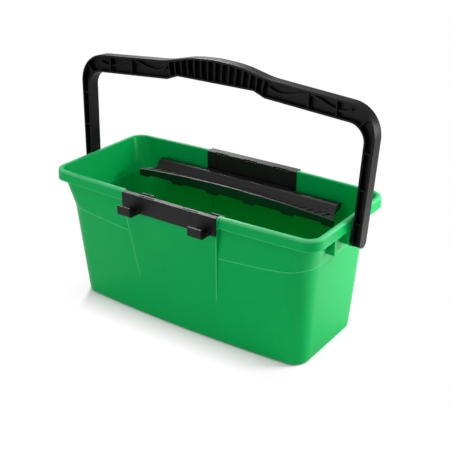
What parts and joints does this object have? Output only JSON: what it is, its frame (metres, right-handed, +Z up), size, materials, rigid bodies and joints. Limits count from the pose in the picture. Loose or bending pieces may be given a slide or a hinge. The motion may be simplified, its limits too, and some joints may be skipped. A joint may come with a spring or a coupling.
{
  "type": "window cleaning bucket",
  "caption": "Long rectangular window cleaning bucket with flared walls, a ribbed swing handle, a clip-on tool holder and a drain sieve hooked on the rear rim.",
  "frame": {"origin": "centre of the tub's flat base, on the floor", "axes": "+X along the tub's length, +Y to the rear side with the sieve, +Z up"},
  "size_m": [0.572, 0.2754, 0.439],
  "materials": {
    "green_tub": "satin moulded",
    "black_handle": "satin",
    "black_sieve": "satin",
    "black_clip": "satin"
  },
  "bodies": {
    "tub": {"bucket_body": "green_tub", "front_tool_holder": "black_clip", "rear_sieve_bracket": "black_clip"},
    "handle": {"handle": "black_handle"},
    "sieve": {"sieve": "black_sieve"}
  },
  "joints": [
    {"name": "handle_swing", "type": "hinge", "parent": "tub", "child": "handle", "pos_m": [0, 0, 0.202], "axis": [1, 0, 0], "range_deg": [-131.5, 138.5]},
    {"name": "sieve_lift", "type": "slide", "parent": "tub", "child": "sieve", "axis": [0, 0, 1], "range_m": [0, 0.25]}
  ]
}
